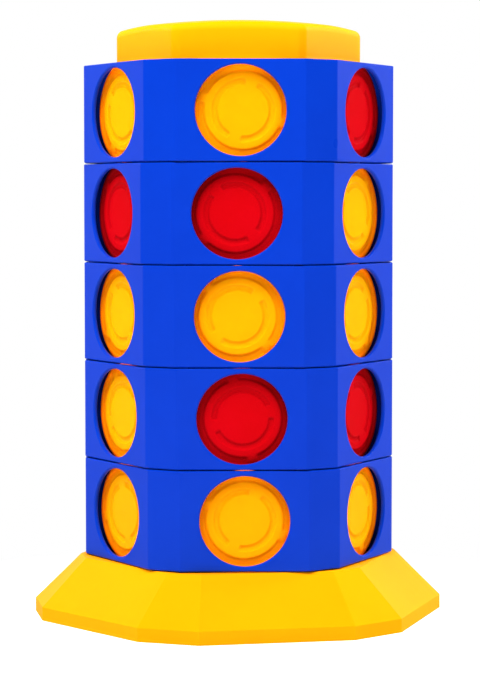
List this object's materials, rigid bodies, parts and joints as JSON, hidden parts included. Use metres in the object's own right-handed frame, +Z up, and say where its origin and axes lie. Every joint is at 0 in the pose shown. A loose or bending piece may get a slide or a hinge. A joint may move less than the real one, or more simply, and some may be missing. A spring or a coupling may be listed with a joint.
{
  "type": "twisting four in a row tower game",
  "caption": "Table-top four-in-a-row tower: six-sided rings with round windows turn on a core above a flared base, and flat discs drop in round the cap.",
  "frame": {"origin": "centre of the underside, on the surface that the tower stands on", "axes": "+Z up along the rings' common axis; the front windows look along -Y; +X to the right seen from the front"},
  "size_m": [0.1348, 0.1328, 0.1945],
  "materials": {
    "ring_plastic": "moulded, glossy blue",
    "base_plastic": "moulded, satin gloss yellow",
    "cap_plastic": "moulded, satin gloss yellow",
    "core_plastic": "moulded blue",
    "yellow_disc_plastic": "moulded, glossy amber yellow",
    "red_disc_plastic": "moulded, glossy red",
    "screw_steel": "zinc plated"
  },
  "bodies": {
    "tower": {"base": "base_plastic", "base_plate": "base_plastic", "plate_screws": "screw_steel", "core": "core_plastic", "core_screws": "screw_steel", "cap": "cap_plastic", "cap_screws": "screw_steel"},
    "ring_1": {"ring_1": "ring_plastic", "yellow_disc_1_front_left": "yellow_disc_plastic", "yellow_disc_1_front": "yellow_disc_plastic", "yellow_disc_1_front_right": "yellow_disc_plastic", "red_disc_1_back_right": "red_disc_plastic", "red_disc_1_back": "red_disc_plastic", "red_disc_1_back_left": "red_disc_plastic"},
    "ring_2": {"ring_2": "ring_plastic", "yellow_disc_2_front_left": "yellow_disc_plastic", "red_disc_2_front": "red_disc_plastic", "red_disc_2_front_right": "red_disc_plastic", "red_disc_2_back_right": "red_disc_plastic", "yellow_disc_2_back": "yellow_disc_plastic", "yellow_disc_2_back_left": "yellow_disc_plastic"},
    "ring_3": {"ring_3": "ring_plastic", "yellow_disc_3_front_left": "yellow_disc_plastic", "yellow_disc_3_front": "yellow_disc_plastic", "yellow_disc_3_front_right": "yellow_disc_plastic", "red_disc_3_back_right": "red_disc_plastic", "red_disc_3_back": "red_disc_plastic", "red_disc_3_back_left": "red_disc_plastic"},
    "ring_4": {"ring_4": "ring_plastic", "red_disc_4_front_left": "red_disc_plastic", "red_disc_4_front": "red_disc_plastic", "yellow_disc_4_front_right": "yellow_disc_plastic", "yellow_disc_4_back_right": "yellow_disc_plastic", "yellow_disc_4_back": "yellow_disc_plastic", "red_disc_4_back_left": "red_disc_plastic"},
    "ring_5": {"ring_5": "ring_plastic"},
    "top_disc_front_left": {"yellow_disc_5_front_left": "yellow_disc_plastic"},
    "top_disc_front": {"yellow_disc_5_front": "yellow_disc_plastic"},
    "top_disc_front_right": {"red_disc_5_front_right": "red_disc_plastic"},
    "top_disc_back_right": {"red_disc_5_back_right": "red_disc_plastic"},
    "top_disc_back": {"yellow_disc_5_back": "yellow_disc_plastic"},
    "top_disc_back_left": {"red_disc_5_back_left": "red_disc_plastic"}
  },
  "joints": [
    {"name": "ring_1_turn", "type": "hinge", "parent": "tower", "child": "ring_1", "pos_m": [0, 0, 0.0197], "axis": [0, 0, 1], "continuous": true},
    {"name": "ring_2_turn", "type": "hinge", "parent": "tower", "child": "ring_2", "pos_m": [0, 0, 0.0518], "axis": [0, 0, 1], "continuous": true},
    {"name": "ring_3_turn", "type": "hinge", "parent": "tower", "child": "ring_3", "pos_m": [0, 0, 0.0839], "axis": [0, 0, 1], "continuous": true},
    {"name": "ring_4_turn", "type": "hinge", "parent": "tower", "child": "ring_4", "pos_m": [0, 0, 0.116], "axis": [0, 0, 1], "continuous": true},
    {"name": "ring_5_turn", "type": "hinge", "parent": "tower", "child": "ring_5", "pos_m": [0, 0, 0.1481], "axis": [0, 0, 1], "continuous": true},
    {"name": "top_disc_front_left_lift", "type": "slide", "parent": "ring_5", "child": "top_disc_front_left", "axis": [0, 0, 1], "range_m": [0, 0.04]},
    {"name": "top_disc_front_lift", "type": "slide", "parent": "ring_5", "child": "top_disc_front", "axis": [0, 0, 1], "range_m": [0, 0.04]},
    {"name": "top_disc_front_right_lift", "type": "slide", "parent": "ring_5", "child": "top_disc_front_right", "axis": [0, 0, 1], "range_m": [0, 0.04]},
    {"name": "top_disc_back_right_lift", "type": "slide", "parent": "ring_5", "child": "top_disc_back_right", "axis": [0, 0, 1], "range_m": [0, 0.04]},
    {"name": "top_disc_back_lift", "type": "slide", "parent": "ring_5", "child": "top_disc_back", "axis": [0, 0, 1], "range_m": [0, 0.04]},
    {"name": "top_disc_back_left_lift", "type": "slide", "parent": "ring_5", "child": "top_disc_back_left", "axis": [0, 0, 1], "range_m": [0, 0.04]}
  ]
}
